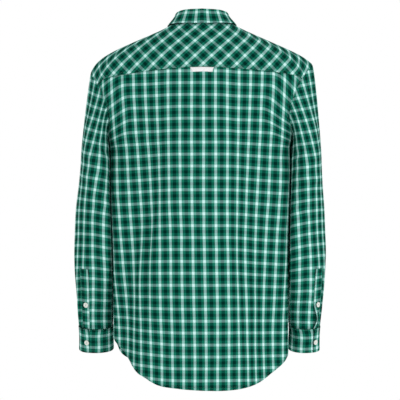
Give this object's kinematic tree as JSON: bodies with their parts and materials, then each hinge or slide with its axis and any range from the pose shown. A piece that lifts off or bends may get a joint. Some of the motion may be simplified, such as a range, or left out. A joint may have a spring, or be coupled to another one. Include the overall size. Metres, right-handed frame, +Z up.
{
  "type": "shirt",
  "caption": "Long-sleeved check poplin shirt with folded collar, bias back yoke, buttoned cuffs and curved shirt-tail hem, filled out as worn.",
  "frame": {"origin": "middle of the neck's base, level with the neck points of the shoulders, where the wearer's shoulders carry the shirt", "axes": "+Z up towards the collar, the front faces -Y, the wearer's left is +X"},
  "size_m": [0.5542, 0.2739, 0.8087],
  "materials": {
    "check_cloth": "matte woven cotton poplin, green check",
    "button": "satin",
    "tape": "matte woven tape"
  },
  "bodies": {
    "root": {"back": "check_cloth", "yoke": "check_cloth", "front_left": "check_cloth", "front_right": "check_cloth", "front_placket": "check_cloth", "collar_stand": "check_cloth", "collar": "check_cloth", "sleeve_left": "check_cloth", "sleeve_right": "check_cloth", "sleeve_placket_left": "check_cloth", "sleeve_placket_right": "check_cloth", "cuff_left": "check_cloth", "cuff_right": "check_cloth", "hanger_loop": "tape", "button_stand": "button", "button_front_1": "button", "button_front_2": "button", "button_front_3": "button", "button_front_4": "button", "button_front_5": "button", "button_front_6": "button", "button_front_7": "button", "button_sleeve_left": "button", "button_sleeve_right": "button", "button_cuff_left": "button", "button_cuff_right": "button"}
  },
  "joints": []
}
